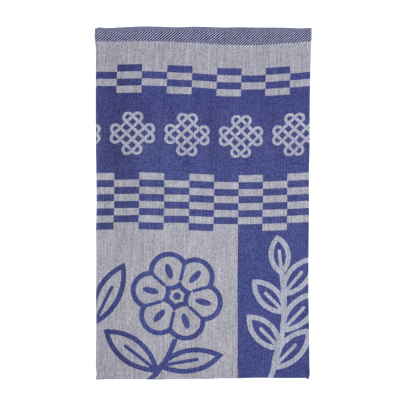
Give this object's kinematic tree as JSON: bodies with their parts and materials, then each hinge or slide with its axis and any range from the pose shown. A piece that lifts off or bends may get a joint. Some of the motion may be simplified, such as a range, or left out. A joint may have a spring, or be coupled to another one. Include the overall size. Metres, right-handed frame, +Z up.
{
  "type": "tea towel",
  "caption": "Figured cotton tea towel with hemmed ends, folded hem to hem and then in thirds, lying flat as a thin layered rectangle.",
  "frame": {"origin": "under the middle of the folded towel, on the surface that it lies on", "axes": "+X across the folded towel, +Y along it towards the hems, +Z up out of the surface"},
  "size_m": [0.2009, 0.327, 0.0108],
  "materials": {
    "figured_cotton": "matt woven cotton, grey white and blue"
  },
  "bodies": {
    "root": {"towel_cloth": "figured_cotton"}
  },
  "joints": []
}
